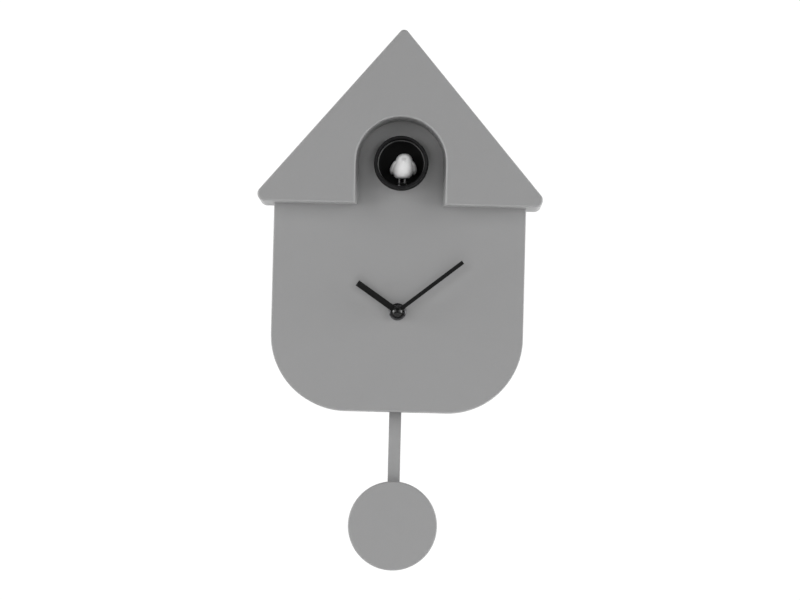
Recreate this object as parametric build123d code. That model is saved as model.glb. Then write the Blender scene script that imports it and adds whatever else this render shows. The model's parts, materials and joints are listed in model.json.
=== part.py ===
from build123d import *
from math import atan2, cos, degrees, pi, radians, sin, tan
import os

# Wall-hung cuckoo clock with a pendulum and a battery movement.
# Millimetres. X to the right, Z up, Y towards the wall. The origin is the round entry of the
# hanger plate, on the rear plane. "depth" is the distance in front of the wall, so y = -depth.

# ---- driving dimensions -------------------------------------------------------------------
roof_front = 80.0             # depth of the roof's front face
body_front = 54.0             # depth of the dial face
wall = 2.5                    # casing wall
boss_r, boss_bore = 4.0, 1.35           # screw bosses of the casing
post_r, post_bore = 2.4, 1.0            # screw posts of the boards and the speaker
screw_hole_r = 1.6
eave_z = -60.0                # height of the eave corners' centres
eave_x = 102.2
eave_r = 5.4
apex_z = eave_z + 122.2       # centre of the rounded ridge
apex_r = 4.0
body_half = 95.5
body_bottom = eave_z - 161.6
body_corner_r = 56.8
roof_edge_r = 1.5
gap = 0.3                     # running gap between separate shells
ring_z = eave_z + 26.4        # axis of the bird's port
arch_half = 34.2              # half width of the arch at the roof's face
arch_draft = 4.6              # degrees
hub_z = eave_z - 86.0         # axis of the hands

cover_near = 1.2              # depth of the rear cover's outer face
cover_far = 3.7

port_r = 19.7                 # outer radius at the port's mouth
port_root_r = 20.7            # and where it meets the dial face
port_front = 79.0
port_bore_r = 17.9
port_neck_r = 18.9
port_rear = 49.4
port_ledge_r = 17.3
port_ledge = 52.0             # depth of the ledge that carries the trim ring
trim_ring_r = 17.1            # inner radius of the trim ring
trim_ring_front = 52.7

sensor_at = (-1.2, -72.5, ring_z - 17.75)

bird_x = 1.0                  # the bird stands just beside the port's axis
bird_foot_z = -49.0           # top of the carriage platform
bird_base_z = -45.4           # underside of the bird
bird_depth = 61.5             # middle of the bird
rack_module = 0.8
rack_pinion_teeth = 12
rack_pitch_z = bird_foot_z + 0.92
rack_pinion_r = rack_module * rack_pinion_teeth / 2
rack_axis = (-28.0, rack_pitch_z + rack_pinion_r)      # y, z of the drive gear's pin
gear_module = 0.5
gear_hub_r = 1.75
pin_r, pin_hole_r = 0.98, 1.03
frame_front, frame_rear = 49.3, 47.3    # front plate of the drive's frame
drive_teeth = 40
pinion_teeth = 10
stage = gear_module * (drive_teeth + pinion_teeth) / 2

case_half = 28.0              # movement case
case_bottom = hub_z - 28.0
case_top = hub_z + 48.0
case_rear = 34.4
case_split = 42.0
case_front = 50.4
case_wall = 1.5
bay_top = case_bottom + 16.5  # top of the movement's cell bay
pivot_r, pivot_hole_r = 0.5, 0.55
pivot_ends = (35.1, 49.7)
bush_r = 4.0
nut_r = 6.5
cap_r = 3.95

hour_angle = 304.3            # degrees clockwise from twelve, hands at rest
minute_angle = 51.6
hour_length, hour_half = 37.3, 2.35
minute_length, minute_half = 62.1, 1.5
hour_depths = (59.0, 59.7)
minute_depths = (61.0, 61.6)

hanger_z = case_top - 8.0     # pendulum pivot
rod_near = 23.9
rod_far = 25.9
rod_half = 4.6
bob_z = eave_z - 248.2
bob_r = 33.9
bob_rear = 26.0
bob_front = 33.0
slot_half = 16.0

cell_r = 7.1
cell_length = 50.5
cell_depth = 11.8             # axis of the sound module's cells
nub_r, base_r = 2.7, 5.2      # a cell's two terminals
sound_cells_x = (48.3, 63.7)
sound_cells_z = -106.0
speaker_x, speaker_z = -64.0, -105.0
board_near, board_far = 11.0, 12.6      # depths of the main board
knob_x, knob_z = -70.0, -162.0
switch_x, switch_z = -48.0, -162.0
wire_r = 0.5

parts = {}


# ---- shape helpers ------------------------------------------------------------------------
def layer(sketch, near, far):
    """A sketch in X and Z made solid between two depths."""
    return extrude(Plane.XZ.offset(near) * sketch, amount=far - near)


def across(sketch, x_low, x_high):
    """A sketch in Y and Z made solid between two X positions."""
    return extrude(Plane.YZ.offset(x_low) * sketch, amount=x_high - x_low)


def rect(x_low, z_low, x_high, z_high):
    centre = Pos((x_low + x_high) / 2, (z_low + z_high) / 2)
    return centre * Rectangle(x_high - x_low, z_high - z_low)


def block(x, z, depth):
    """A box from (low, high) pairs."""
    return layer(rect(x[0], z[0], x[1], z[1]), depth[0], depth[1])


def disc(x, z, radius, near, far):
    return layer(Pos(x, z) * Circle(radius), near, far)


def tube(x, z, outer, inner, near, far):
    return layer(Pos(x, z) * (Circle(outer) - Circle(inner)), near, far)


def turned(x, z, outline):
    """Turned about an axis along Y; the outline is (radius, depth)."""
    profile = make_face(Polyline(*[(r, -d) for r, d in outline], close=True))
    return Pos(x, 0, z) * revolve(profile, Axis.Y)


def turned_across(y, z, outline):
    """Turned about an axis along X; the outline is (x, radius)."""
    profile = make_face(Polyline(*outline, close=True))
    return Pos(0, y, z) * revolve(profile, Axis.X)


def gear_outline(teeth, module, phase=0.0):
    """Straight-flanked teeth with running backlash; one tooth points along phase."""
    pitch_r = teeth * module / 2
    corners = [(-0.27, -1.1), (-0.11, 0.75), (0.11, 0.75), (0.27, -1.1)]
    points = []
    for tooth in range(teeth):
        for share, height in corners:
            angle = radians(phase) + 2 * pi * (tooth + share) / teeth
            radius = pitch_r + height * module
            points.append((radius * cos(angle), radius * sin(angle)))
    return make_face(Polyline(*points, close=True))


def mesh_phase(teeth, angle):
    """Phase that puts a tooth space towards angle."""
    return angle + 180.0 / teeth


def angle_between(start, end):
    return degrees(atan2(end[1] - start[1], end[0] - start[0]))


def step_from(start, distance, angle):
    return (start[0] + distance * cos(radians(angle)), start[1] + distance * sin(radians(angle)))


def capsule(start, end, half_width):
    return make_hull((Pos(*start) * Circle(half_width) + Pos(*end) * Circle(half_width)).edges())


def screw(x, z, head_r, shank_r, head_height, length, tip_direction, seat):
    """A pan-head screw; tip_direction is +1 towards the front and -1 towards the wall."""
    tip = seat + tip_direction * length
    head = seat - tip_direction * head_height
    body = disc(x, z, shank_r, min(seat, tip), max(seat, tip))
    cap = disc(x, z, head_r, min(seat, head), max(seat, head))
    slot_floor = head + tip_direction * head_height * 0.55
    slot = block((x - head_r, x + head_r), (z - 0.3, z + 0.3), sorted((head, slot_floor)))
    return body + (cap - slot)


def wire(points, radius):
    """A wire of straight runs joined by arcs as large as the runs allow."""
    corners = [Vector(*p) for p in points]
    radii = []
    for before, here, after in zip(corners, corners[1:], corners[2:]):
        turn = (here - before).get_angle(after - here)
        shorter = min((here - before).length, (after - here).length)
        radii.append(0.45 * shorter / tan(radians(turn / 2)))
    path = FilletPolyline(*corners, radius=radii)
    start = Plane(origin=path @ 0, z_dir=path % 0)
    return sweep(start * Circle(radius), path=path)


def wire_pair(starts, away, route, shift):
    """Two wires: out of their own terminals, side by side, and down onto the main board."""
    pair = []
    for number, start in enumerate(starts):
        run = [tuple(a + number * b for a, b in zip(point, shift)) for point in route]
        lead = tuple(a + b for a, b in zip(start, away))
        end = (run[-1][0], -board_far - 0.2, run[-1][2])
        pair.append(wire([start, lead] + run + [end], wire_r))
    return Compound(pair)


# ---- casing -------------------------------------------------------------------------------
def roof_outline(inset):
    """The gable: a triangle with rounded corners."""
    corners = Pos(0, apex_z) * Circle(apex_r - inset)
    for side in (-1, 1):
        corners += Pos(side * eave_x, eave_z) * Circle(eave_r - inset)
    return make_hull(corners.edges())


def house_outline(inset):
    """The body: round-cornered below, and following the roof's inside above."""
    low, high = body_bottom, apex_z + 20
    box = RectangleRounded(2 * body_half, high - low, body_corner_r)
    box = Pos(0, (low + high) / 2) * box + rect(-body_half, eave_z, body_half, high)
    under_roof = Pos(0, apex_z) * Circle(apex_r - wall - gap)
    for side in (-1, 1):
        for height in (eave_z, body_bottom - 100):
            under_roof += Pos(side * eave_x, height) * Circle(eave_r - wall - gap)
    outline = box & make_hull(under_roof.edges())
    if inset:
        outline = offset(outline, amount=-inset)
    return outline


def arch_outline(half):
    return Pos(0, ring_z) * Circle(half) + rect(-half, ring_z - 60, half, ring_z)


case_bosses = [(-86, -72), (86, -72), (-62, -198), (62, -198), (0, 34)]
roof_bosses = [(-62, -44), (62, -44), (-15, 18), (15, 18)]


def roof_shell():
    shell = layer(roof_outline(0), 0, roof_front)
    reach = body_half + gap
    hollow = layer(roof_outline(wall), -1, roof_front - wall)
    hollow &= block((-reach, reach), (eave_z - 20, apex_z + 20), (-1, roof_front))
    floor_cut = block((-reach, reach), (eave_z - 20, eave_z + 12), (-1, body_front + 0.2))
    shell -= hollow + floor_cut
    arch_depth = roof_front - body_front - 0.2
    tunnel = extrude(Plane.XZ.offset(roof_front) * arch_outline(arch_half), amount=-arch_depth,
                     taper=arch_draft)
    sleeve = extrude(Plane.XZ.offset(roof_front) * arch_outline(arch_half + 2.2),
                     amount=-arch_depth, taper=arch_draft)
    shell += sleeve & layer(roof_outline(1.0), body_front + 0.2, roof_front - 1.0)
    shell -= tunnel
    for x, z in roof_bosses:
        shell += tube(x, z, boss_r, boss_bore, body_front + 0.2, roof_front - wall)
    front = shell.faces().sort_by(Axis.Y)[0]
    return fillet(front.edges(), roof_edge_r)


def body_shell():
    shell = layer(house_outline(0), 0, body_front)
    shell = fillet(shell.faces().sort_by(Axis.Y)[0].edges(), 1.0)
    shell -= layer(house_outline(wall), -1, body_front - wall)
    shell -= disc(0, ring_z, port_neck_r + 0.1, body_front - 5, body_front + 1)
    shell -= disc(0, hub_z, 4.2, body_front - 5, body_front + 1)
    shell -= block((-slot_half, slot_half), (body_bottom - 5, body_bottom + 5), (18, 32))
    for x, z in case_bosses:
        shell += tube(x, z, boss_r, boss_bore, cover_far, body_front - wall)
    for x, z in roof_bosses:
        shell -= disc(x, z, screw_hole_r, body_front - 5, body_front + 1)
    for x, z in mechanism_feet:
        shell += tube(x, z, 2.6, 1.0, port_rear, body_front - wall)
    return shell


window = ((-36.0, 36.0), (-182.0, case_top + 2))
bay_x = (40.9, 71.1)
bay_z = (-134.2, -77.8)
plate_half = (17.0, 14.0)     # hanger plate, half sizes
plate_pins = (-13.0, 13.0)


def rear_cover():
    cover = layer(house_outline(wall + gap), cover_near, cover_far)
    x, z = window
    cover += block((x[0] - 1.6, x[1] + 1.6), (z[0], z[1] + 1.6), (cover_near, case_rear - 2))
    cover -= block(x, z, (0, case_rear))
    cover -= block((-rod_half - 9, rod_half + 9), (z[0] - 1, z[0] + 1), (cover_far, case_rear))
    cover += block((bay_x[0] - wall, bay_x[1] + wall), (bay_z[0] - wall, bay_z[1] + wall),
                   (cover_near, 21.0))
    cover -= block(bay_x, bay_z, (0, 19.5))
    cover -= block((bay_x[0] - 1, bay_x[1] + 1), (bay_z[0] - 1, bay_z[1] + 1), (0, cover_far))
    for wire_z in (-126.0, -123.8):
        cover -= disc(44.0, wire_z, 0.8, 18, 22)
    cover -= block((-6, 6), (-7, 14), (0, 10))
    cover -= block((-plate_half[0] - gap, plate_half[0] + gap),
                   (1.5 - plate_half[1] - gap, 1.5 + plate_half[1] + gap), (0, cover_near))
    for pin_x in plate_pins:
        cover += disc(pin_x, 1.5, 1.4, 0.2, cover_near + 0.5)
    for row in range(-3, 4):
        reach = (19.0 ** 2 - (row * 5.0) ** 2) ** 0.5
        slot = capsule((speaker_x - reach, speaker_z + row * 5.0),
                       (speaker_x + reach, speaker_z + row * 5.0), 1.0)
        cover -= layer(slot, 0, 5)
    cover -= disc(knob_x, knob_z, 9.5, 0, 5)
    cover -= block((switch_x - 6.5, switch_x + 6.5), (switch_z - 2.2, switch_z + 2.2), (0, 5))
    for post_x, post_z in board_posts:
        cover += tube(post_x, post_z, post_r, post_bore, cover_far, board_near)
    for post_x, post_z in speaker_posts:
        cover += tube(post_x, post_z, post_r, post_bore, cover_far, 6.5)
    for x, z in case_bosses:
        cover -= disc(x, z, screw_hole_r, 0, 5)
    return cover


def case_screws():
    group = [screw(x, z, 2.8, 1.3, 1.0, 12.0, 1, cover_near) for x, z in case_bosses]
    group += [screw(x, z, 2.8, 1.3, 1.6, 12.0, 1, body_front - wall) for x, z in roof_bosses]
    return Compound(group)


def hanger_plate():
    plate = layer(Pos(0, 1.5) * RectangleRounded(2 * plate_half[0], 2 * plate_half[1], 2),
                  0, cover_near)
    plate -= disc(0, 0, 4.5, -1, 5)
    plate -= layer(capsule((0, 0), (0, 9), 2.5), -1, 5)
    for pin_x in plate_pins:
        plate -= disc(pin_x, 1.5, 1.5, -1, 5)
    return plate


def battery_door():
    x = (bay_x[0] - 1 + gap, bay_x[1] + 1 - gap)
    z = (bay_z[0] - 1 + gap, bay_z[1] + 1 - gap)
    door = block(x, z, (1.4, 3.5))
    middle_x = (x[0] + x[1]) / 2
    for row in range(3):
        door -= block((middle_x - 8, middle_x + 8), (z[1] - 6 - 3 * row, z[1] - 5 - 3 * row),
                      (0, 1.9))
    return door


# ---- bird and its drive -------------------------------------------------------------------
mechanism_feet = [(-21.5, -55.0), (21.5, -55.0), (-21.5, -12.5), (21.5, -12.5)]
gear_x = (6.6, 9.0)
second_x = (10.6, 12.4)
left_plate = (-6.6, -5.0)
right_plate = (13.6, 15.2)
second_axis = step_from(rack_axis, stage, 60)
motor_axis = step_from(second_axis, stage, 110)
motor_r = 8.0
motor_x = (-14.0, 5.6)
rail_x = (bird_x - 3.0, bird_x + 3.0)
rail_thick = 1.1
rack_y = (-31.0, -5.6)


def bird_port():
    outline = [(port_bore_r, port_front), (port_r, port_front), (port_root_r, body_front),
               (port_neck_r, body_front), (port_neck_r, port_rear),
               (port_ledge_r, port_rear), (port_ledge_r, port_ledge), (port_bore_r, port_ledge)]
    port = turned(0, ring_z, outline)
    rim = port.edges().filter_by(GeomType.CIRCLE).group_by(Axis.Y)[0]
    port = fillet(rim, 0.6)
    return port - Pos(*sensor_at) * Cylinder(0.9, 6)


def port_trim_ring():
    """A thin ring on the ledge inside the port."""
    return tube(0, ring_z, port_bore_r - 0.05, trim_ring_r, port_ledge, trim_ring_front)


def light_sensor():
    """A clear dome flush in the floor of the port."""
    x, y, z = sensor_at
    return Pos(x, y, z - 0.7) * Cylinder(0.85, 1.4) + Pos(x, y, z) * Sphere(0.85)


def bird_wing(side):
    """A folded wing: an oval plate with a rounded outer edge, low at the back."""
    outline = Plane.YZ * (Pos(1.2, 8.1) * Rot(0, 0, -14) * Ellipse(5.4, 4.2))
    inner, outer = 6.0, 10.0
    wing = Pos(min(side * inner, side * outer), 0, 0) * extrude(outline, amount=outer - inner)
    edges = wing.edges().sort_by(Axis.X)
    return fillet(edges[-1] if side > 0 else edges[0], 2.4)


def bird():
    """A plump bird: turned body and head, two folded wings, a tail and a short beak."""
    side = Line((0, 0), (4.9, 0))
    side += Spline((4.9, 0), (7.4, 3.6), (7.75, 6.6), (7.0, 10.2), (5.6, 13.6), (4.6, 16.2),
                   (2.9, 18.3), (0, 19.0), tangents=[(1, 0.8), (-1, 0)])
    side += Line((0, 19.0), (0, 0))
    body = revolve(Plane.XZ * make_face(side), Axis.Z)
    body += bird_wing(-1)
    body += bird_wing(1)
    tail = extrude(Plane.XY * (Pos(0, 5.6) * Ellipse(3.0, 5.4)), amount=2.4)
    body += Pos(0, 0, 4.4) * Rot(-14, 0, 0) * tail
    body += Pos(0, -5.4, 12.9) * Rot(100, 0, 0) * Cone(1.9, 0.3, 3.4)
    body = Pos(bird_x, -bird_depth, bird_base_z) * body
    for direction in (-1, 1):
        body -= Pos(bird_x + direction * 2.1, -bird_depth, bird_base_z + 1.0) * Cylinder(0.66, 2.4)
    return body


def bird_legs():
    height = bird_base_z + 2.0 - bird_foot_z
    legs = []
    for direction in (-1, 1):
        middle = (bird_x + direction * 2.1, -bird_depth, bird_foot_z + height / 2)
        legs.append(Pos(*middle) * Cylinder(0.65, height))
    return Compound(legs)


def bird_carriage():
    """Platform, rail and rack in one moulding."""
    bar = across(rect(-67.0, bird_foot_z - rail_thick, rack_y[1], bird_foot_z), *rail_x)
    pitch = pi * rack_module
    root_z = bird_foot_z
    tip_z = rack_pitch_z + 0.6 * rack_module
    middle = rack_axis[0]
    first = int((rack_y[0] - middle) / pitch)
    last = int((rack_y[1] - middle) / pitch)
    for number in range(first, last):
        centre = middle + (number + 0.5) * pitch
        tooth = Polyline((centre - 0.27 * pitch, root_z - 0.2), (centre - 0.11 * pitch, tip_z),
                         (centre + 0.11 * pitch, tip_z), (centre + 0.27 * pitch, root_z - 0.2),
                         close=True)
        bar += across(make_face(tooth), rail_x[0], bird_x + 2.6)
    return bar


def mechanism_frame():
    back_of_plate = -frame_rear
    frame = across(rect(-frame_front, -58.5, back_of_plate, -9.5), -24.5, 24.5)
    frame -= block((rail_x[0] - gap, rail_x[1] + gap), (bird_foot_z - 1.7, rack_pitch_z + 1.0),
                   (45, 52))
    side = rect(back_of_plate, bird_foot_z - 3.6, -9.0, -10.5)
    frame += across(side, *left_plate)
    frame += across(side - rect(-33.0, bird_foot_z - 4, -8, rack_axis[1] - 4), *right_plate)
    floor_top = bird_foot_z - 1.6
    frame += across(rect(back_of_plate, floor_top - 1.6, rack_y[1], floor_top), left_plate[0], 6.2)
    frame += across(rect(back_of_plate, floor_top, -8.0, bird_foot_z - 0.2), rail_x[1] + gap, 6.2)
    frame += across(rect(back_of_plate, floor_top, -8.0, bird_foot_z - 0.2), -4.2, rail_x[0] - gap)
    for y, z in (rack_axis, second_axis):
        frame -= Pos(5, y, z) * Rot(0, 90, 0) * Cylinder(1.0, 40)
    seat = Pos(0, *motor_axis) * Rot(0, 90, 0) * Cylinder(motor_r + 0.05, 40)
    frame -= seat & across(rect(-60, -60, 0, 0), -10, 0)
    frame += across(Pos(*motor_axis) * (Circle(motor_r + 2) - Circle(motor_r + 0.05)), -12.0, -5.0)
    frame -= Pos(14, *motor_axis) * Rot(0, 90, 0) * Cylinder(1.0, 8)
    for x, z in mechanism_feet:
        frame -= disc(x, z, 1.1, 45, 52)
    for y, z in (rack_axis, second_axis, motor_axis):
        frame -= Pos(14.4, y, z) * Rot(0, 90, 0) * Cylinder(pin_hole_r, 4)
    return frame


def gear_pins():
    pins = []
    for y, z in (rack_axis, second_axis):
        pins.append(Pos((left_plate[0] + right_plate[1]) / 2, y, z) * Rot(0, 90, 0)
                    * Cylinder(pin_r, right_plate[1] - left_plate[0]))
    return Compound(pins)


def along_x(teeth, module, centre, phase, x_low, x_high):
    return across(Pos(*centre) * gear_outline(teeth, module, phase), x_low, x_high)


def drive_gear():
    to_second = angle_between(rack_axis, second_axis)
    gear = along_x(drive_teeth, gear_module, rack_axis, to_second, *gear_x)
    gear += along_x(rack_pinion_teeth, rack_module, rack_axis, -90, bird_x - 3.0, gear_x[0])
    gear += across(Pos(*rack_axis) * Circle(gear_hub_r), -4.6, right_plate[0] - gap)
    return gear - Pos(5, *rack_axis) * Rot(0, 90, 0) * Cylinder(pin_hole_r, 40)


def reduction_gear():
    to_drive = angle_between(second_axis, rack_axis)
    to_motor = angle_between(second_axis, motor_axis)
    gear = along_x(pinion_teeth, gear_module, second_axis, mesh_phase(pinion_teeth, to_drive),
                   gear_x[0] - 0.2, second_x[0])
    gear += along_x(drive_teeth, gear_module, second_axis, to_motor, *second_x)
    gear += across(Pos(*second_axis) * Circle(gear_hub_r), -4.6, right_plate[0] - gap)
    return gear - Pos(5, *second_axis) * Rot(0, 90, 0) * Cylinder(pin_hole_r, 40)


def motor():
    x_low, x_high = motor_x
    outline = [(x_low, 1.05), (x_low, motor_r), (x_high, motor_r), (x_high, 1.05),
               (x_high - 1, 1.05), (x_high - 1, motor_r - 1), (x_low + 1, motor_r - 1),
               (x_low + 1, 1.05)]
    can = turned_across(*motor_axis, outline)
    terminals = [Pos(x_low - 1.5, motor_axis[0] + 1.0 + shift, motor_axis[1] + 4)
                 * Box(3, 0.5, 2) for shift in (-4, 2)]
    return can + terminals[0] + terminals[1]


def motor_armature():
    x_low, x_high = motor_x
    outline = [(x_low - 0.5, 0), (x_low - 0.5, pin_r), (x_low + 4, pin_r), (x_low + 4, 5.8),
               (x_high - 3, 5.8), (x_high - 3, pin_r), (right_plate[1] - 0.5, pin_r),
               (right_plate[1] - 0.5, 0)]
    shaft = turned_across(*motor_axis, outline)
    phase = mesh_phase(pinion_teeth, angle_between(motor_axis, second_axis))
    return shaft + along_x(pinion_teeth, gear_module, motor_axis, phase,
                           second_x[0] - 0.3, second_x[1] + 0.3)


# ---- sound module -------------------------------------------------------------------------
board_posts = [(-76.0, -178.0), (-42.0, -188.0), (-58.0, -154.0)]
speaker_posts = [(speaker_x + 28.6 * cos(radians(a)), speaker_z + 28.6 * sin(radians(a)))
                 for a in (55, 125, 235, 305)]


def module_screws():
    group = [screw(x, z, 2.2, 0.95, 1.2, 5.0, -1, board_far) for x, z in board_posts]
    group += [screw(x, z, 2.8, 0.95, 1.2, 4.0, -1, 7.7) for x, z in speaker_posts]
    group += [screw(x, z, 2.2, 0.95, 1.2, 4.0, 1, 47.3) for x, z in mechanism_feet]
    return Compound(group)


def speaker_frame():
    outline = [(20.5, 3.9), (25.0, 3.9), (25.0, 5.2), (22.5, 5.2), (21.8, 7.0), (10.0, 13.5),
               (10.0, 15.0), (4.5, 15.0), (4.5, 13.9), (8.6, 13.9), (8.6, 12.6), (20.5, 6.0)]
    frame = turned(speaker_x, speaker_z, outline)
    for x, z in speaker_posts:
        inner = (speaker_x + (x - speaker_x) * 0.84, speaker_z + (z - speaker_z) * 0.84)
        frame += layer(capsule(inner, (x, z), 2.4), 6.5, 7.7) - disc(x, z, 1.1, 6, 8)
    return frame + block((-55, -50), (-119, -114), (9.2, 13.0))


def speaker_cone():
    outline = [(20.3, 4.2), (20.3, 4.8), (18.4, 5.4), (5.0, 11.6), (0, 9.6), (0, 8.8),
               (4.6, 10.6), (17.8, 4.7)]
    return turned(speaker_x, speaker_z, outline)


def speaker_magnet():
    return disc(speaker_x, speaker_z, 9.0, 15.0, 20.0) + disc(speaker_x, speaker_z, 4.3, 12.4, 15.0)


def main_board():
    board = block((-80, -38), (-193, -150), (board_near, board_far))
    board -= disc(-80, -193, 7, 10, 14)
    board -= disc(knob_x, knob_z, 1.2, 10, 14)
    for x, z in board_posts:
        board -= disc(x, z, 1.1, 10, 14)
    return board


def board_components():
    group = [block((-66, -54), (-180, -168), (12.6, 14.4))]
    for x, z in ((-48, -172), (-48, -181)):
        group.append(disc(x, z, 2.5, 12.6, 19.0))
    for number in range(4):
        z = -165 + 3.2 * number
        group.append(block((-44.0, -41.6), (z, z + 1.2), (12.6, 13.3)))
    pot = tube(knob_x, knob_z, 4.5, 2.05, 8.2, 11.0)
    group.append(pot)
    switch = block((switch_x - 7, switch_x + 7), (switch_z - 3.4, switch_z + 3.4), (5.0, 11.0))
    switch -= block((switch_x - 5.4, switch_x + 5.4), (switch_z - 1.3, switch_z + 1.3), (4, 9))
    group.append(switch)
    return Compound(group)


def volume_knob():
    knob = disc(knob_x, knob_z, 9.0, 1.0, 5.6)
    for number in range(18):
        x, z = step_from((knob_x, knob_z), 9.15, number * 20)
        knob -= disc(x, z, 0.5, 0, 6)
    knob -= block((knob_x - 0.6, knob_x + 0.6), (knob_z + 2, knob_z + 7.5), (0, 1.5))
    return knob + disc(knob_x, knob_z, 2.0, 5.6, 10.8)


def mode_slider():
    slider = block((switch_x - 2.4, switch_x + 2.4), (switch_z - 1.1, switch_z + 1.1), (1.2, 8.6))
    for shift in (-1.2, 0, 1.2):
        slider -= block((switch_x + shift - 0.25, switch_x + shift + 0.25),
                        (switch_z - 2, switch_z + 2), (0, 1.7))
    return slider


def cell_along_z(x, up):
    nub_z, base_z = (0.5, -0.5) if up else (-0.5, 0.5)
    body = Pos(x, -cell_depth, sound_cells_z) * Cylinder(cell_r, cell_length - 2)
    body = chamfer(body.edges().filter_by(GeomType.CIRCLE), 0.5)
    reach = cell_length / 2 - 1
    nub = Pos(x, -cell_depth, sound_cells_z + 2 * nub_z * (reach + 0.6)) * Cylinder(nub_r, 1.2)
    base = Pos(x, -cell_depth, sound_cells_z + 2 * base_z * (reach + 0.15)) * Cylinder(base_r, 0.3)
    return body + nub + base


def battery_contacts():
    group = []
    for number, x in enumerate(sound_cells_x):
        for end in (-1, 1):
            outer = sound_cells_z + end * 28.0
            plate = block((x - 5.5, x + 5.5), sorted((outer, outer - end * 0.4)), (6, 17))
            sprung = (end == 1) == (number == 1)
            if sprung:
                plate += Pos(x, -cell_depth, outer - end * 1.3) * Cylinder(3.6, 1.8)
                plate -= Pos(x, -cell_depth, outer - end * 1.9) * Cylinder(3.0, 1.4)
            group.append(plate)
    return Compound(group)


# ---- movement -----------------------------------------------------------------------------
centre = (0.0, hub_z)
work_module = 20 / 48
motion_at = step_from(centre, 10.0, 20)
knob_at = step_from(motion_at, 10.0, -25)
third_at = step_from(centre, 0.3 * (64 + 8) / 2, 160)
rotor_at = step_from(third_at, 0.25 * (60 + 8) / 2, 120)
drive_coil_z = hanger_z - 18.0
coil_z = hub_z + 38.0


def case_tray(near, far, floor_near, floor_far):
    tray = block((-case_half, case_half), (case_bottom, case_top), (near, far))
    inner = case_half - case_wall
    room = block((-inner, inner), (bay_top + 1.5, case_top - case_wall), (near - 1, far + 1))
    bay = block((-inner, inner), (case_bottom + case_wall, bay_top), (near - 1, far + 1))
    tray -= room + bay
    return tray + (room & layer(rect(-30, -200, 30, -60), floor_near, floor_far))


def movement_front_case():
    case = case_tray(case_split, case_front, case_front - case_wall, case_front)
    inner = case_half - case_wall
    case += block((-inner, inner), (case_bottom + case_wall, bay_top),
                  (case_front - case_wall, case_front))
    case -= disc(0, hub_z, 4.02, 45, 55)
    for x, z in (third_at, rotor_at, motion_at, knob_at):
        case -= disc(x, z, pivot_hole_r if (x, z) != knob_at else 1.05, 48, 49.9)
    return case


def movement_rear_case():
    case = case_tray(case_rear, case_split, case_rear, case_rear + case_wall)
    for x, z in (third_at, rotor_at):
        case -= disc(x, z, pivot_hole_r, 34.9, 40)
    case -= disc(0, hub_z, 0.85, 34.9, 40)
    case -= disc(knob_at[0], knob_at[1], 1.05, 30, 40)
    case -= disc(0, hanger_z, 1.2, 30, 40)
    return case


def shaft_bush():
    bush = turned(0, hub_z, [(2.66, 48.9), (bush_r, 48.9), (bush_r, 57.9), (2.66, 57.9)])
    for turn in range(4):
        at = 54.4 + 0.8 * turn
        groove = [(3.75, at), (4.1, at - 0.3), (4.1, at + 0.3)]
        bush -= turned(0, hub_z, groove)
    return bush


def shaft_nut():
    """A round nut with a domed shoulder."""
    bore = bush_r + 0.04
    nut = turned(0, hub_z, [(bore, 54.0), (nut_r, 54.0), (nut_r, 56.6), (bore, 56.6)])
    shoulder = nut.edges().filter_by(GeomType.CIRCLE).group_by(Axis.Y)[0].sort_by(SortBy.RADIUS)[-1]
    return fillet(shoulder, 1.2)


def centre_wheel():
    shaft = turned(0, hub_z, [(0, 35.1), (0.8, 35.1), (0.8, 36.3), (1.5, 36.3), (1.5, 62.6),
                              (0, 62.6)])
    wheel = gear_outline(64, 0.3, angle_between(centre, third_at))
    pinion = gear_outline(12, work_module, angle_between(centre, motion_at))
    shaft += layer(Pos(*centre) * wheel, 43.8, 44.6)
    return shaft + layer(Pos(*centre) * pinion, 44.6, 46.9)


def hour_wheel():
    wheel = layer(Pos(*centre) * gear_outline(40, 0.4, angle_between(centre, motion_at)),
                  47.5, 48.3)
    wheel += disc(0, hub_z, 2.6, 47.5, 60.0)
    return wheel - disc(0, hub_z, 1.56, 45, 62)


def motion_wheel():
    wheel = gear_outline(36, work_module, mesh_phase(36, angle_between(motion_at, centre)))
    pinion = gear_outline(10, 0.4, mesh_phase(10, angle_between(motion_at, centre)))
    body = layer(Pos(*motion_at) * wheel, 45.8, 46.6) + layer(Pos(*motion_at) * pinion, 46.6, 48.7)
    return body + disc(*motion_at, pivot_r, 45.1, pivot_ends[1])


def motion_tooth_offset(direction):
    """Turn from the motion wheel's nearest tooth to a direction, in degrees."""
    start = mesh_phase(36, angle_between(motion_at, centre))
    return (direction - start) % 10.0


def set_knob():
    towards = angle_between(knob_at, motion_at)
    slip = motion_tooth_offset(angle_between(motion_at, knob_at))
    phase = mesh_phase(12, towards + slip * 36 / 12)
    pinion = layer(Pos(*knob_at) * gear_outline(12, work_module, phase), 45.6, 46.8)
    body = disc(*knob_at, 1.0, 29.0, pivot_ends[1]) + pinion
    knob = disc(*knob_at, 6.0, 28.6, 33.4)
    for number in range(16):
        knob -= disc(*step_from(knob_at, 6.1, number * 22.5), 0.45, 28, 34)
    return body + knob


def third_wheel():
    to_centre = angle_between(third_at, centre)
    to_rotor = angle_between(third_at, rotor_at)
    body = layer(Pos(*third_at) * gear_outline(8, 0.3, mesh_phase(8, to_centre)), 42.6, 45.2)
    body += layer(Pos(*third_at) * gear_outline(60, 0.25, to_rotor), 41.8, 42.6)
    return body + disc(*third_at, pivot_r, *pivot_ends)


def rotor():
    phase = mesh_phase(8, angle_between(rotor_at, third_at))
    body = layer(Pos(*rotor_at) * gear_outline(8, 0.25, phase), 41.4, 43.0)
    body += disc(*rotor_at, 2.5, 38.6, 41.4)
    return body + disc(*rotor_at, pivot_r, *pivot_ends)


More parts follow.
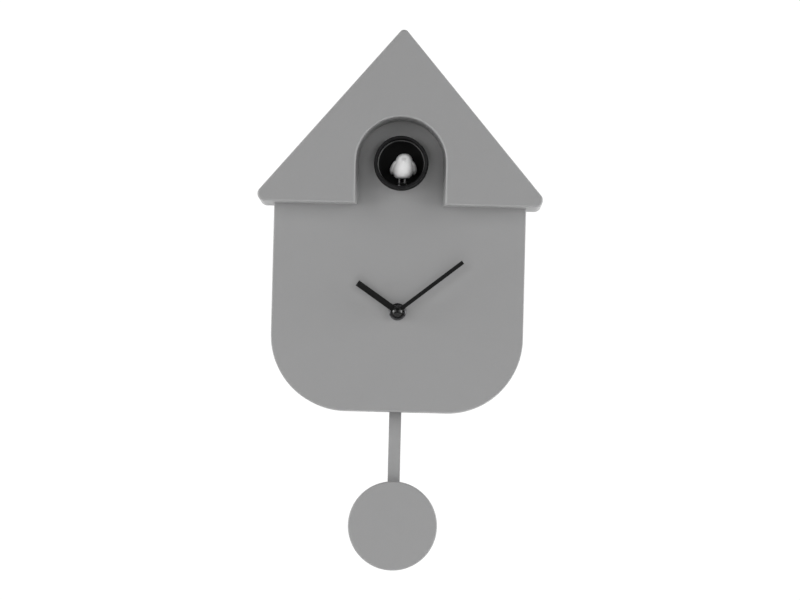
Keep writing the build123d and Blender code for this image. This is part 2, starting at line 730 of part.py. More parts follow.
def stator():
    x_left, x_right = -25.0, -8.5
    base_z = rotor_at[1] - 5.0
    frame = rect(x_left, base_z, x_right, rotor_at[1] + 5.0)
    frame += rect(x_left, base_z, x_left + 4, coil_z + 1.2)
    frame += rect(x_right - 3.5, base_z, x_right, coil_z + 1.2)
    frame += rect(x_left, coil_z - 1.2, x_right, coil_z + 1.2)
    return layer(frame, 39.6, 40.6) - disc(*rotor_at, 2.9, 38, 42)


def stepping_coil():
    coil = turned_across(-40.1, coil_z, [(-20.7, 2.2), (-20.7, 3.9), (-19.9, 3.9), (-19.9, 3.5),
                                         (-13.1, 3.5), (-13.1, 3.9), (-12.3, 3.9), (-12.3, 2.2)])
    return coil


def drive_coil():
    return turned(0, drive_coil_z, [(2.0, 36.1), (6.6, 36.1), (6.6, 36.8), (6.2, 36.8),
                                    (6.2, 40.4), (6.6, 40.4), (6.6, 41.1), (2.0, 41.1)])


def movement_board():
    board = block((9, 26), (case_top - 30, case_top - 4), (36.6, 37.4))
    chip = disc(15, case_top - 20, 3.2, 37.4, 38.4)
    return board + chip


def quartz_crystal():
    return Pos(22, -38.6, case_top - 14) * Cylinder(1.1, 6.4)


def movement_contacts():
    group = []
    for side in (-1, 1):
        x = sorted((side * 26.4, side * 25.9))
        group.append(block(x, (case_bottom + 3, bay_top - 2), (36, 47)))
    return Compound(group)


def movement_cell():
    body = Rot(0, 90, 0) * Cylinder(cell_r, cell_length - 2)
    body = chamfer(body.edges().filter_by(GeomType.CIRCLE), 0.5)
    reach = cell_length / 2 - 1
    body += Pos(reach + 0.5, 0, 0) * Rot(0, 90, 0) * Cylinder(nub_r, 1.0)
    body += Pos(-reach - 0.15, 0, 0) * Rot(0, 90, 0) * Cylinder(base_r, 0.3)
    return Pos(0, -41.7, case_bottom + 9.0) * body


def shaft_gasket():
    return tube(0, hub_z, 9.0, 4.2, case_front, body_front - wall)


# ---- hands --------------------------------------------------------------------------------
def hand(length, half_width, hub_r, bore_r, angle, near, far):
    blade = Rot(0, 0, -angle) * (rect(-half_width, 0, half_width, length))
    shape = layer(Pos(0, hub_z) * (blade + Circle(hub_r)), near, far)
    return shape - disc(0, hub_z, bore_r, near - 1, far + 1)


def hand_cap():
    cap = turned(0, hub_z, [(0, 62.6), (1.52, 62.6), (1.52, 61.6), (cap_r, 61.6), (cap_r, 62.6),
                            (3.5, 63.8), (2.4, 64.7), (1.1, 65.1), (0, 65.15)])
    return cap


# ---- pendulum -----------------------------------------------------------------------------
def hanger_pin():
    return disc(0, hanger_z, 1.19, 25.0, 35.9) + disc(0, hanger_z, 2.2, 24.4, 25.0)


def pendulum_hanger():
    arm = layer(capsule((0, hanger_z), (0, hub_z - 4), 4.0), 26.0, 28.5)
    arm += disc(0, hanger_z, 3.0, 28.5, 33.8)
    arm += tube(0, drive_coil_z, 5.2, 4.05, 28.5, 33.2)
    arm += disc(0, hub_z - 4, 1.5, 22.8, 26.0)
    return arm - disc(0, hanger_z, 1.25, 20, 40)


def drive_magnet():
    return disc(0, drive_coil_z, 4.0, 28.5, 33.4)


def pendulum_rod():
    top = hub_z - 4
    rod = rect(-rod_half, bob_z - 18, rod_half, top) + Pos(0, top) * Circle(rod_half)
    return layer(rod, rod_near, rod_far) - disc(0, top, 1.55, 20, 30)


def pendulum_bob():
    bob = disc(0, bob_z, bob_r, bob_rear, bob_front)
    bob = fillet(bob.faces().sort_by(Axis.Y)[0].edges(), 1.2)
    return bob - disc(0, bob_z, bob_r - 2.0, bob_rear - 1, bob_front - 2.0)


def bob_back_plate():
    plate = disc(0, bob_z, bob_r - 2.1, bob_rear, bob_rear + 1.2)
    plate += tube(0, bob_z, 12.0, 10.5, bob_rear + 1.2, bob_front - 2.0)
    for height in (-9, 9):
        for side in (-1, 1):
            x = sorted((side * (rod_half + 0.1), side * (rod_half + 2.0)))
            plate += block(x, (bob_z + height - 4, bob_z + height + 4), (rod_near, bob_rear))
    return plate


# ---- wires --------------------------------------------------------------------------------
def speaker_leads():
    route = [(-52.6, -21.5, -122.0), (-50.5, -24.0, -130.0), (-50.5, -23.5, -139.0),
             (-52.5, -21.0, -147.0), (-53.0, -17.5, -152.5)]
    return wire_pair([(-53.6, -13.1, -117.0), (-51.4, -13.1, -117.0)], (0, -4.5, 0), route,
                     (2.2, 0, 0))


def motor_leads():
    route = [(-26.0, -29.5, -22.0), (-34.0, -30.5, -35.0), (-41.0, -31.5, -52.0),
             (-44.5, -33.0, -72.0), (-44.0, -34.0, -94.0), (-42.0, -33.0, -114.0),
             (-42.0, -29.0, -131.0), (-43.0, -23.0, -144.0), (-43.6, -17.5, -152.5)]
    return wire_pair([(-17.1, -29.0, -16.7), (-17.1, -23.0, -16.7)], (-4.0, 0, 0), route,
                     (2.2, 2.2, 0))


def battery_leads():
    route = [(43.0, -26.0, -134.0), (41.5, -28.0, -146.0), (41.5, -30.0, -161.0),
             (40.5, -32.5, -176.0), (33.0, -36.0, -189.0), (17.0, -38.5, -196.0),
             (-5.0, -38.5, -198.0), (-25.0, -33.0, -195.0), (-40.0, -24.0, -190.5),
             (-50.0, -17.5, -188.5)]
    return wire_pair([(44.0, -19.6, -126.0), (44.0, -19.6, -123.8)], (0, -5.0, 0), route,
                     (0, 0, 2.2))


builders = [roof_shell, body_shell, rear_cover, case_screws, hanger_plate, battery_door,
            bird_port, port_trim_ring, light_sensor, bird, bird_legs, bird_carriage,
            mechanism_frame, gear_pins,
            drive_gear, reduction_gear, motor, motor_armature, module_screws, speaker_frame,
            speaker_cone, speaker_magnet, main_board, board_components, volume_knob, mode_slider,
            battery_contacts, movement_front_case, movement_rear_case, shaft_bush, shaft_nut,
            shaft_gasket, centre_wheel, hour_wheel, motion_wheel, set_knob, third_wheel, rotor,
            stator, stepping_coil, drive_coil, movement_board, quartz_crystal, movement_contacts,
            movement_cell, hand_cap, hanger_pin, pendulum_hanger, drive_magnet, pendulum_rod,
            pendulum_bob, bob_back_plate, speaker_leads, motor_leads, battery_leads]
for builder in builders:
    parts[builder.__name__] = builder()
parts["sound_cell_left"] = cell_along_z(sound_cells_x[0], up=True)
parts["sound_cell_right"] = cell_along_z(sound_cells_x[1], up=False)
parts["hour_hand"] = hand(hour_length, hour_half, 4.2, 2.62, hour_angle, *hour_depths)
parts["minute_hand"] = hand(minute_length, minute_half, 3.9, 1.52, minute_angle,
                            *minute_depths)

os.makedirs("parts", exist_ok=True)
for name, shape in parts.items():
    export_step(shape, f"parts/{name}.step")
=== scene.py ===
import json
from math import cos, pi, radians, sin

import bmesh
import bpy
from mathutils import Matrix, Vector


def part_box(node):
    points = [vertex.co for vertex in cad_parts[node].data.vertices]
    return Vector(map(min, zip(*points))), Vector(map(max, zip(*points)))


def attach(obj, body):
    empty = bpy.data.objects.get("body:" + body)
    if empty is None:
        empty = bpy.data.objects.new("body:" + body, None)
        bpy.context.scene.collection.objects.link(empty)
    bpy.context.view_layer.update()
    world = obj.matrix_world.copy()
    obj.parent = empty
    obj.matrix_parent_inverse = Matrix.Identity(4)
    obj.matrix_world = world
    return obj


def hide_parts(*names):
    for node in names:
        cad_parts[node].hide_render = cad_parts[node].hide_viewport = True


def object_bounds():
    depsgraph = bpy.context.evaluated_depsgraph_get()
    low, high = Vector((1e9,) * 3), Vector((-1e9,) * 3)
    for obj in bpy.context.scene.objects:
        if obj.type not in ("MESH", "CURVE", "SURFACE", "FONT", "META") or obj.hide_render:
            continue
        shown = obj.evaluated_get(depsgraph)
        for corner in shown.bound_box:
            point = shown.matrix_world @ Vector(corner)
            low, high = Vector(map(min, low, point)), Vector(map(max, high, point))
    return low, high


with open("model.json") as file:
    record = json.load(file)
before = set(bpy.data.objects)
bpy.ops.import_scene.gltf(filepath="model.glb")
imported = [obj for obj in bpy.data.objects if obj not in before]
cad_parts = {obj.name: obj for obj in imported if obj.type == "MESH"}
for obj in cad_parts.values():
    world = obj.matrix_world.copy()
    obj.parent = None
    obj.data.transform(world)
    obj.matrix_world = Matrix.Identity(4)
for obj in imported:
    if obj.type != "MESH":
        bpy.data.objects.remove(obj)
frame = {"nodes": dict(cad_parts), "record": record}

cad_low, cad_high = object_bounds()
scene = bpy.context.scene
nodes = frame["nodes"]


# ---------------------------------------------------------------- node helpers

class Finish:
    """One material under construction: its tree, its shader and its object coordinates."""

    def __init__(self, name):
        self.material = bpy.data.materials.new(name)
        self.material.use_nodes = True
        self.tree = self.material.node_tree
        self.shader = self.tree.nodes["Principled BSDF"]
        self.place = self.tree.nodes.new("ShaderNodeTexCoord").outputs["Object"]

    def link(self, output, target):
        self.tree.links.new(output, target)

    def stretched(self, scale):
        """Coordinates stretched along one or more axes, for drawn or brushed grain."""
        mapping = self.tree.nodes.new("ShaderNodeMapping")
        mapping.inputs["Scale"].default_value = scale
        self.link(self.place, mapping.inputs["Vector"])
        return mapping.outputs["Vector"]

    def noise(self, per_metre, detail=3.0, rough=0.5, place=None):
        node = self.tree.nodes.new("ShaderNodeTexNoise")
        node.inputs["Scale"].default_value = per_metre
        node.inputs["Detail"].default_value = detail
        node.inputs["Roughness"].default_value = rough
        self.link(place or self.place, node.inputs["Vector"])
        return node.outputs["Fac"]

    def cells(self, per_metre, feature="F1", output="Distance", place=None):
        """Cellular pattern: distance to the nearest point or edge, or a colour for each cell."""
        node = self.tree.nodes.new("ShaderNodeTexVoronoi")
        node.feature = feature
        node.inputs["Scale"].default_value = per_metre
        self.link(place or self.place, node.inputs["Vector"])
        return node.outputs[output]

    def bands(self, per_metre, distortion=0.0):
        """Stripes that alternate along x."""
        node = self.tree.nodes.new("ShaderNodeTexWave")
        node.bands_direction = "X"
        node.inputs["Scale"].default_value = per_metre
        node.inputs["Distortion"].default_value = distortion
        self.link(self.place, node.inputs["Vector"])
        return node.outputs["Fac"]

    def axis(self, letter):
        """One object coordinate, in metres."""
        split = self.tree.nodes.new("ShaderNodeSeparateXYZ")
        self.link(self.place, split.inputs[0])
        return split.outputs[letter]

    def spread(self, value, low, high, from_low=0.3, from_high=0.7):
        """Maps a value's own range on to low and high, and holds it there."""
        node = self.tree.nodes.new("ShaderNodeMapRange")
        for key, number in (("From Min", from_low), ("From Max", from_high),
                            ("To Min", low), ("To Max", high)):
            node.inputs[key].default_value = number
        self.link(value, node.inputs["Value"])
        return node.outputs["Result"]

    def ramp(self, value, stops):
        """A colour for each value, from (position, colour) stops."""
        node = self.tree.nodes.new("ShaderNodeValToRGB")
        while len(node.color_ramp.elements) < len(stops):
            node.color_ramp.elements.new(1.0)
        for element, (position, colour) in zip(node.color_ramp.elements, stops):
            element.position = position
            element.color = (*colour, 1)
        self.link(value, node.inputs["Fac"])
        return node.outputs["Color"]

    def mixed(self, factor, first, second):
        node = self.tree.nodes.new("ShaderNodeMix")
        node.data_type = "RGBA"
        self.link(factor, node.inputs["Factor"])
        self.link(first, node.inputs[6])
        self.link(second, node.inputs[7])
        return node.outputs[2]

    def bump(self, height, depth, strength=1.0, under=None):
        node = self.tree.nodes.new("ShaderNodeBump")
        node.inputs["Distance"].default_value = depth
        node.inputs["Strength"].default_value = strength
        self.link(height, node.inputs["Height"])
        if under is not None:
            self.link(under, node.inputs["Normal"])
        return node.outputs["Normal"]

    def fixed(self, **values):
        """Sets the shader's own sockets, with spaces written as underscores."""
        for key, value in values.items():
            self.shader.inputs[key.replace("_", " ")].default_value = value

    def wear(self, colour, roughness, normal):
        """Joins the three outputs to the shader and gives the finished material."""
        for name, output in (("Base Color", colour), ("Roughness", roughness), ("Normal", normal)):
            self.link(output, self.shader.inputs[name])
        return self.material


def shade(colour, factor):
    return tuple(min(1.0, channel * factor) for channel in colour)


# ---------------------------------------------------------------- finishes

def moulding(name, colour, rough, mottle=0.03, grain=1600, grain_depth=2e-5, specular=0.5,
             scuff=0.05, wave_depth=6e-5, through=0.0):
    """Moulded plastic: slow mottle, spark-eroded grain, faint flow waviness and light rubbing.

    through is how much of the light passes a little way into the plastic.
    """
    f = Finish(name)
    slow = f.noise(18, 3.0)
    speck = f.noise(grain * 0.6, 2.0)
    tone = f.ramp(slow, [(0.3, shade(colour, 1 - mottle)), (0.7, shade(colour, 1 + mottle))])
    speckle = mottle * 1.4
    fine = f.ramp(speck, [(0.35, shade(colour, 1 - speckle)), (0.65, shade(colour, 1 + speckle))])
    blend = f.spread(f.noise(90, 4.0), 0.25, 0.75)
    strokes = f.noise(55, 6.0, 0.65, f.stretched((1.0, 1.0, 3.0)))
    rubbed = f.spread(strokes, rough - scuff, rough + scuff)
    waves = f.bump(f.noise(28, 1.0), wave_depth, 0.6)
    grained = f.bump(f.noise(grain, 3.0, 0.6), grain_depth, 0.8, waves)
    f.fixed(Specular_IOR_Level=specular, Subsurface_Weight=through,
            Subsurface_Radius=(1, 1, 1), Subsurface_Scale=0.002)
    return f.wear(f.mixed(blend, tone, fine), rubbed, grained)


def gloss(name, colour, rough, specular=0.5, coat=0.0, mottle=0.08):
    """Polished plastic: almost smooth, with haze, hairline marks and a little dust."""
    f = Finish(name)
    dust = f.noise(420, 5.0, 0.7)
    tone = f.ramp(dust, [(0.4, colour), (0.72, shade(colour, 1 + mottle * 4))])
    haze = f.spread(f.noise(70, 5.0, 0.6), rough * 0.75, rough * 1.3)
    marks = f.noise(260, 4.0, 0.6, f.stretched((1.0, 0.25, 6.0)))
    f.fixed(Specular_IOR_Level=specular, Coat_Weight=coat, Coat_Roughness=0.08)
    return f.wear(tone, haze, f.bump(marks, 4e-6, 0.5))


def steel(name, colour, rough, along="Z", spots=0.12, brush_depth=3e-6):
    """Plated or drawn metal: grain along one axis, cloudy plating and small dull spots."""
    f = Finish(name)
    stretch = {"X": (0.06, 1, 1), "Y": (1, 0.06, 1), "Z": (1, 1, 0.06)}[along]
    brushed = f.noise(2600, 4.0, 0.6, f.stretched(stretch))
    clouds = f.noise(140, 4.0, 0.6)
    tone = f.ramp(clouds, [(0.3, shade(colour, 1 - spots)), (0.55, colour),
                           (0.8, shade(colour, 1 + spots * 0.6))])
    streak = f.ramp(brushed, [(0.3, shade(colour, 0.86)), (0.7, shade(colour, 1.08))])
    both = f.mixed(f.spread(f.noise(420, 3.0), 0.2, 0.8), tone, streak)
    f.fixed(Metallic=1.0)
    return f.wear(both, f.spread(brushed, rough * 0.8, rough * 1.25), f.bump(brushed, brush_depth, 0.7))


def rubber(name, colour):
    """Soft rubber with a dusty bloom."""
    f = Finish(name)
    bloom = f.noise(300, 5.0, 0.65)
    f.fixed(Specular_IOR_Level=0.3)
    return f.wear(f.ramp(bloom, [(0.3, colour), (0.75, shade(colour, 2.1))]),
                  f.spread(bloom, 0.72, 0.92), f.bump(f.noise(1500, 3.0), 3e-5, 0.8))


def board(name, mask, copper):
    """Solder mask over a net of copper tracks."""
    f = Finish(name)
    tracks = f.cells(230, "DISTANCE_TO_EDGE", "Distance", f.stretched((1.0, 0.02, 1.0)))
    line = f.ramp(tracks, [(0.03, copper), (0.07, mask)])
    weave = f.ramp(f.noise(900, 2.0), [(0.3, shade(mask, 0.8)), (0.7, shade(mask, 1.2))])
    gap = f.spread(tracks, 0.0, 1.0, 0.03, 0.09)
    f.fixed(Coat_Weight=0.3, Coat_Roughness=0.15)
    return f.wear(f.mixed(gap, line, weave), f.spread(f.noise(160, 4.0), 0.28, 0.42),
                  f.bump(f.spread(tracks, 1.0, 0.0, 0.02, 0.1), 4e-5, 0.8))


def winding(name, colour):
    """Enamelled wire laid turn by turn; the colour ramp paints shade into the grooves between turns and a
    sheen on each turn's crest.
    """
    f = Finish(name)
    turns = f.bands(1100, 0.6)
    # painted shade in the grooves between turns and painted sheen on each turn's crest
    tone = f.ramp(turns, [(0.1, shade(colour, 0.35)), (0.5, colour), (0.9, shade(colour, 1.25))])
    f.fixed(Metallic=0.75, Coat_Weight=0.5, Coat_Roughness=0.12)
    return f.wear(tone, f.spread(f.noise(500, 4.0), 0.25, 0.42), f.bump(turns, 8e-5, 1.0))


def packages(name, colour):
    """Moulded components: each a little different, with fine pitted faces."""
    f = Finish(name)
    patch = f.cells(160, "F1", "Color")
    brownish = (0.055, 0.05, 0.042)
    tone = f.ramp(patch, [(0.2, shade(colour, 0.7)), (0.6, shade(colour, 1.5)), (0.9, brownish)])
    return f.wear(tone, f.spread(f.noise(600, 4.0), 0.38, 0.6), f.bump(f.noise(2400, 3.0), 2e-5, 0.8))


def cell_sleeve(name, node, axis):
    """A blue film sleeve with bare metal ends, on a battery cell that lies along the axis."""
    f = Finish(name)
    low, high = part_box(node)
    along = f.spread(f.axis(axis), 0.0, 1.0, getattr(low, axis.lower()), getattr(high, axis.lower()))
    colour = (0.05, 0.1, 0.2)
    metal = (0.62, 0.62, 0.6)
    black = (0, 0, 0)
    white = (1, 1, 1)
    band = f.ramp(along, [(0.035, metal), (0.05, colour), (0.93, colour), (0.945, metal)])
    middle_of = f.ramp(along, [(0.04, black), (0.06, white), (0.92, white), (0.94, black)])
    scratch = f.noise(700, 5.0, 0.7, f.stretched((1.0, 1.0, 0.15)))
    dull = f.ramp(scratch, [(0.35, shade(colour, 0.75)), (0.65, shade(colour, 1.25))])
    f.fixed(Coat_Weight=0.4, Coat_Roughness=0.2)
    worn = f.mixed(f.spread(f.noise(60, 4.0), 0.0, 0.6), band, f.mixed(middle_of, band, dull))
    return f.wear(worn, f.spread(scratch, 0.22, 0.4), f.bump(scratch, 1e-5, 0.7))


def paper(name, colour):
    """Pressed paper pulp with fibres."""
    f = Finish(name)
    fibre = f.noise(1300, 6.0, 0.75, f.stretched((1.0, 1.0, 0.4)))
    return f.wear(f.ramp(fibre, [(0.3, shade(colour, 0.6)), (0.7, shade(colour, 1.8))]),
                  f.spread(fibre, 0.75, 0.95), f.bump(fibre, 1.2e-4, 0.9))


def sintered(name, colour):
    """Pressed magnet powder with fine pits."""
    f = Finish(name)
    pits = f.cells(1500)
    f.fixed(Metallic=0.55)
    tone = f.ramp(f.noise(220, 5.0), [(0.3, shade(colour, 0.7)), (0.75, shade(colour, 1.35))])
    return f.wear(tone, f.spread(pits, 0.38, 0.6, 0.1, 0.6), f.bump(pits, 3e-5, 0.8))


def lens(name, colour):
    """Clear plastic with a faint film on it."""
    f = Finish(name)
    f.fixed(Transmission_Weight=0.75, IOR=1.49, Specular_IOR_Level=0.6)
    film = f.noise(900, 4.0)
    return f.wear(f.ramp(film, [(0.3, shade(colour, 0.9)), (0.7, shade(colour, 1.1))]),
                  f.spread(film, 0.03, 0.12), f.bump(film, 2e-6, 0.5))


def jacket(name, colour, dark, split_x):
    """Insulated wire whose colour alternates between two across x, at split_x stripes a metre."""
    f = Finish(name)
    stripe = f.bands(split_x)
    tone = f.ramp(stripe, [(0.45, dark), (0.55, colour)])
    print_marks = f.noise(500, 4.0)
    f.fixed(Coat_Weight=0.15)
    return f.wear(tone, f.spread(print_marks, 0.32, 0.5), f.bump(print_marks, 2e-5, 0.6))


grey = (0.236, 0.236, 0.237)
cover = (0.21, 0.21, 0.212)

finishes = {
    "casing_grey": moulding("casing_grey", grey, 0.5, 0.012, 2200, 5e-6, 0.35),
    "cover_grey": moulding("cover_grey", cover, 0.62, 0.03, 900, 4e-5, 0.35),
    "screw_steel": steel("screw_steel", (0.58, 0.58, 0.6), 0.32, "Y"),
    "plate_steel": steel("plate_steel", (0.6, 0.6, 0.62), 0.3, "X", 0.18),
    "port_black": gloss("port_black", (0.0055, 0.0055, 0.0058), 0.75, 0.12),
    "clear_lens": lens("clear_lens", (0.8, 0.8, 0.82)),
    "mechanism_black": moulding("mechanism_black", (0.008, 0.008, 0.008), 0.6, 0.1, 1100, 3e-5, 0.15),
    "shaft_steel": steel("shaft_steel", (0.62, 0.62, 0.64), 0.2, "Y", 0.06),
    "motor_can": steel("motor_can", (0.56, 0.56, 0.58), 0.28, "X"),
    "gear_plastic": moulding("gear_plastic", (0.72, 0.7, 0.64), 0.4, 0.04, 1500, 1e-5),
    "bird_white": moulding("bird_white", (0.88, 0.88, 0.88), 0.38, 0.02, 1500, 6e-6, through=0.25),
    "leg_grey": moulding("leg_grey", (0.3, 0.3, 0.3), 0.45, 0.05, 1500, 8e-6),
    "speaker_metal": moulding("speaker_metal", (0.02, 0.02, 0.02), 0.42, 0.1, 1300, 2e-5),
    "cone_black": paper("cone_black", (0.022, 0.022, 0.022)),
    "magnet_metal": sintered("magnet_metal", (0.13, 0.13, 0.14)),
    "board_green": board("board_green", (0.014, 0.1, 0.035), (0.05, 0.26, 0.1)),
    "component_black": packages("component_black", (0.02, 0.02, 0.02)),
    "knob_black": moulding("knob_black", (0.016, 0.016, 0.016), 0.5, 0.1, 1200, 3e-5),
    "contact_nickel": steel("contact_nickel", (0.68, 0.67, 0.64), 0.22, "Z"),
    "cell_wrap": cell_sleeve("cell_wrap", "sound_cell_left", "Z"),
    "movement_black": moulding("movement_black", (0.016, 0.016, 0.016), 0.58, 0.1, 900, 4e-5),
    "bush_brass": steel("bush_brass", (0.7, 0.5, 0.22), 0.26, "Y", 0.1),
    "nut_dark": steel("nut_dark", (0.055, 0.055, 0.057), 0.22, "Y", 0.1),
    "gasket_rubber": rubber("gasket_rubber", (0.02, 0.02, 0.02)),
    "stator_iron": steel("stator_iron", (0.42, 0.42, 0.43), 0.36, "X", 0.16),
    "coil_copper": winding("coil_copper", (0.6, 0.24, 0.1)),
    "hand_black": moulding("hand_black", (0.006, 0.006, 0.006), 0.6, 0.1, 1800, 8e-6, 0.08),
    "cap_black": gloss("cap_black", (0.005, 0.005, 0.005), 0.22, 0.22, 0.0),
    "lead_jacket": jacket("lead_jacket", (0.32, 0.012, 0.01), (0.012, 0.012, 0.012), 400),
}

for row in frame["record"]["subparts"]:
    mesh = nodes[row["node"]].data
    mesh.materials.clear()
    mesh.materials.append(finishes[row["material_slot"]])
nodes["movement_cell"].data.materials[0] = cell_sleeve("movement_cell_wrap", "movement_cell", "X")


# ---------------------------------------------------------------- the bird

def mesh_object(name, build, material, smooth_levels=0):
    """A mesh object in the row frame, made by build(bmesh)."""
    bm = bmesh.new()
    build(bm)
    bmesh.ops.recalc_face_normals(bm, faces=bm.faces)
    mesh = bpy.data.meshes.new(name)
    bm.to_mesh(mesh)
    bm.free()
    mesh.polygons.foreach_set("use_smooth", [True] * len(mesh.polygons))
    mesh.materials.append(material)
    obj = bpy.data.objects.new(name, mesh)
    scene.collection.objects.link(obj)
    if smooth_levels:
        surface = obj.modifiers.new("rounding", "SUBSURF")
        surface.levels = surface.render_levels = smooth_levels
    return obj


def tube_of_rings(bm, rings):
    """A closed skin through equal rings of points, capped at both ends."""
    rows = [[bm.verts.new(point) for point in ring] for ring in rings]
    count = len(rows[0])
    for lower, upper in zip(rows, rows[1:]):
        for index in range(count):
            following = (index + 1) % count
            bm.faces.new((lower[index], lower[following], upper[following], upper[index]))
    bm.faces.new(rows[0][::-1])
    bm.faces.new(rows[-1])


mm = 0.001
bird_low, bird_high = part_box("bird")
bird_middle_y = -0.0615
bird_foot = Vector(((bird_low.x + bird_high.x) / 2 + 0.3 * mm, bird_middle_y, bird_low.z))
bird_lean = 0.064           # sideways shift of each point, as a share of its height


def bird_point(x, y, height):
    """A point on the bird, in mm from the middle of its underside, with the bird's lean towards +x."""
    return bird_foot + Vector((x + bird_lean * height, y, height)) * mm


def oval(count, centre_x, centre_y, half_wide, half_deep, height):
    """One level ring of the bird."""
    turns = [2 * pi * step / count for step in range(count)]
    return [bird_point(centre_x + half_wide * cos(turn), centre_y + half_deep * sin(turn), height)
            for turn in turns]


def bird_body(bm):
    """Belly, breast and round head in one skin: (height, half width, half depth)."""
    belly = [(0.0, 3.9, 3.9), (0.25, 4.8, 4.8), (1.0, 6.0, 6.0), (2.4, 7.05, 6.9), (4.2, 7.7, 7.4),
             (6.4, 7.95, 7.6)]
    breast = [(8.6, 7.8, 7.5), (10.6, 7.3, 7.1), (12.3, 6.75, 6.6), (13.7, 6.35, 6.3)]
    head = [(15.0, 6.15, 6.1), (16.2, 5.6, 5.6), (17.2, 4.85, 4.9), (18.0, 4.0, 4.0), (18.6, 2.9, 2.9),
            (18.9, 1.7, 1.7), (19.0, 0.6, 0.6)]
    sections = belly + breast + head
    tube_of_rings(bm, [oval(32, 0.0, 0.0, wide, deep, height) for height, wide, deep in sections])


def bird_wing(side):
    """A folded wing, from the shoulder down to a rounded tip set back.

    Each section has its height, how far out it reaches, its half thickness, half depth and distance back.
    """
    sections = [(14.1, 5.9, 0.6, 0.8, -0.6), (13.4, 7.0, 2.0, 2.2, -0.4), (12.2, 8.2, 3.0, 3.3, 0.1),
                (10.6, 9.25, 3.6, 4.0, 0.9), (8.8, 9.95, 3.8, 4.4, 1.8), (7.0, 10.3, 3.6, 4.5, 2.5),
                (5.5, 10.25, 3.2, 4.1, 3.0), (4.3, 9.9, 2.5, 3.3, 3.3), (3.5, 9.3, 1.6, 2.2, 3.5),
                (3.1, 8.7, 0.6, 0.9, 3.6)]

    def build(bm):
        rings = [oval(20, side * (reach - thick), back, side * thick, deep, height)
                 for height, reach, thick, deep, back in sections]
        tube_of_rings(bm, rings)
    return build


def bird_beak(bm):
    """A short three-sided beak whose lower edges meet in a point: (y, half width, top, tip)."""
    sections = [(-4.9, 1.9, 15.9, 11.6), (-6.1, 2.3, 15.1, 11.65), (-7.0, 1.9, 14.1, 11.85),
                (-7.6, 1.1, 13.3, 12.1), (-7.9, 0.35, 12.7, 12.3)]
    rings = []
    for y, half_wide, top, tip in sections:
        cheek = half_wide * 0.55
        cheek_height = top * 0.75 + tip * 0.25 - 0.45
        corners = [(-half_wide, top), (0.0, top + 0.15), (half_wide, top),
                   (cheek, cheek_height), (0.0, tip), (-cheek, cheek_height)]
        rings.append([bird_point(x, y, height) for x, height in corners])
    tube_of_rings(bm, rings)


def bird_tail(bm):
    """A short flat tail, tilted up behind: (distance back, half width, half thickness)."""
    sections = [(4.6, 2.2, 1.2), (6.1, 2.6, 1.1), (8.1, 2.9, 0.9), (10.0, 2.8, 0.7), (10.8, 2.2, 0.45)]
    start_height = 4.4
    slope = 0.22
    turns = [2 * pi * step / 16 for step in range(16)]
    rings = []
    for back, half_wide, half_thick in sections:
        height = start_height + slope * back
        rings.append([bird_point(half_wide * cos(turn), back, height + half_thick * sin(turn))
                      for turn in turns])
    tube_of_rings(bm, rings)


bird_builders = {
    "bird_body": bird_body,
    "bird_wing_left": bird_wing(-1),
    "bird_wing_right": bird_wing(1),
    "bird_beak": bird_beak,
    "bird_tail": bird_tail,
}
for name, build in bird_builders.items():
    piece = mesh_object(name, build, finishes["bird_white"], 2)
    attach(piece, "bird_slide")
    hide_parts("bird")


# ---------------------------------------------------------------- stage, light and camera

middle = (cad_low + cad_high) / 2
floor_height = -1.35


def floor(bm):
    """A round pale floor a metre under the clock, its rim turned up a little: (radius, rise)."""
    sections = [(0.02, 0.0), (1.0, 0.0), (2.2, 0.0), (2.6, 0.02), (2.8, 0.08)]
    count = 64
    turns = [2 * pi * step / count for step in range(count)]
    rows = [[bm.verts.new((radius * cos(turn), radius * sin(turn), floor_height + rise)) for turn in turns]
            for radius, rise in sections]
    for inner, outer in zip(rows, rows[1:]):
        for index in range(count):
            following = (index + 1) % count
            bm.faces.new((inner[index], inner[following], outer[following], outer[index]))
    bm.faces.new(rows[0])


floor_finish = Finish("floor_pale")
floor_patch = floor_finish.noise(3, 4.0)
floor_finish.wear(floor_finish.ramp(floor_patch, [(0.3, (0.78, 0.78, 0.78)), (0.7, (0.84, 0.84, 0.84))]),
                  floor_finish.spread(floor_patch, 0.7, 0.85),
                  floor_finish.bump(floor_finish.noise(400, 2.0), 1e-4, 0.4))
mesh_object("floor", floor, floor_finish.material)


def area_light(name, at, size, power):
    """A rectangular lamp of the given size, turned towards the middle of the clock."""
    data = bpy.data.lights.new(name, "AREA")
    data.shape = "RECTANGLE"
    data.size, data.size_y = size
    data.energy = power
    lamp = bpy.data.objects.new(name, data)
    lamp.location = at
    lamp.rotation_mode = "QUATERNION"
    lamp.rotation_quaternion = (middle - Vector(at)).to_track_quat("-Z", "Y")
    scene.collection.objects.link(lamp)


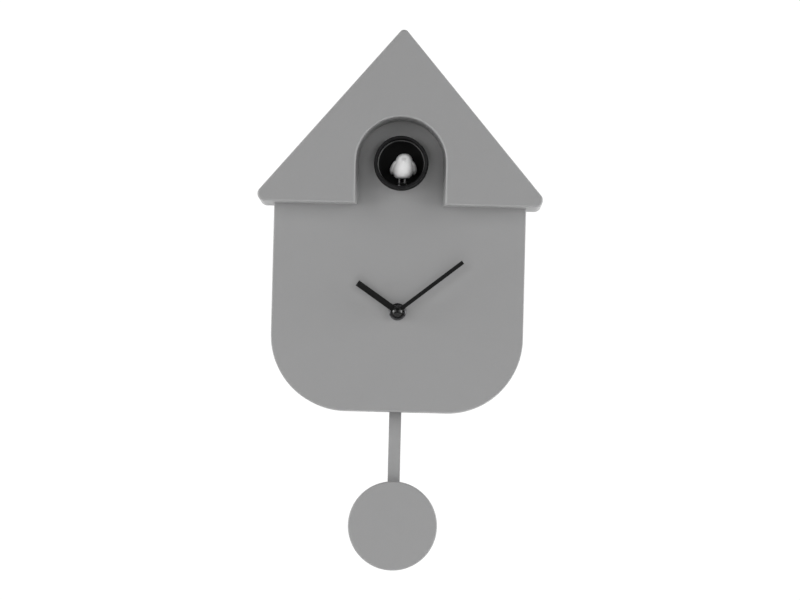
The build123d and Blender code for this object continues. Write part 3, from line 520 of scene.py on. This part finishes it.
# each side: direction along x, name, and its share of the key lamps' power
for side, name, lift in ((-1, "left", 1.04), (1, "right", 0.98)):
    area_light("key_" + name, (side * 1.45, -1.9, 0.28), (0.9, 1.5), 15.0 * lift)
    area_light("side_" + name, (side * 1.97, -0.36, -0.05), (0.6, 1.2), 30 * lift)
    area_light("front_" + name, (side * 0.56, -2.6, 0.15), (0.4, 0.5), 4.4)
area_light("from_below", (0.0, -1.1, -1.25), (2.6, 1.6), 7.5)

# the camera sees a white room; the clock is lit by a soft fill that is strongest from behind it
backdrop_strength = 1.05
fill_front = 0.06
fill_behind = 1.8
front_reach = -0.35
world = bpy.data.worlds.new("studio")
world.use_nodes = True
scene.world = world
tree = world.node_tree
tree.nodes.clear()
out = tree.nodes.new("ShaderNodeOutputWorld")
seen = tree.nodes.new("ShaderNodeBackground")
seen.inputs["Color"].default_value = (1, 1, 1, 1)
seen.inputs["Strength"].default_value = backdrop_strength
direction = tree.nodes.new("ShaderNodeTexCoord").outputs["Generated"]
split = tree.nodes.new("ShaderNodeSeparateXYZ")
tree.links.new(direction, split.inputs[0])
sides = tree.nodes.new("ShaderNodeMapRange")
for key, number in (("From Min", front_reach), ("From Max", 0.0),
                    ("To Min", fill_front), ("To Max", fill_behind)):
    sides.inputs[key].default_value = number
tree.links.new(split.outputs["Y"], sides.inputs["Value"])
fill = tree.nodes.new("ShaderNodeBackground")
tree.links.new(sides.outputs["Result"], fill.inputs["Strength"])
path = tree.nodes.new("ShaderNodeLightPath")
mix = tree.nodes.new("ShaderNodeMixShader")
tree.links.new(path.outputs["Is Camera Ray"], mix.inputs[0])
tree.links.new(fill.outputs[0], mix.inputs[1])
tree.links.new(seen.outputs[0], mix.inputs[2])
tree.links.new(mix.outputs[0], out.inputs["Surface"])

scene.view_settings.view_transform = "Standard"
scene.view_settings.look = "None"

camera_data = bpy.data.cameras.new("camera")
camera_data.lens = 268.6
camera_data.sensor_width = 36.0
camera_data.clip_start = 0.1
camera_data.clip_end = 60.0
camera = bpy.data.objects.new("camera", camera_data)
scene.collection.objects.link(camera)
camera_at = Vector((0.0357, -4.571, -0.2719))
aim = Vector((0.00186, -0.080, -0.13779))
roll = radians(1.43)
camera.rotation_mode = "QUATERNION"
camera.location = camera_at
level = (aim - camera_at).to_track_quat("-Z", "Y")
camera.rotation_quaternion = level @ Matrix.Rotation(roll, 3, "Z").to_quaternion()
scene.camera = camera
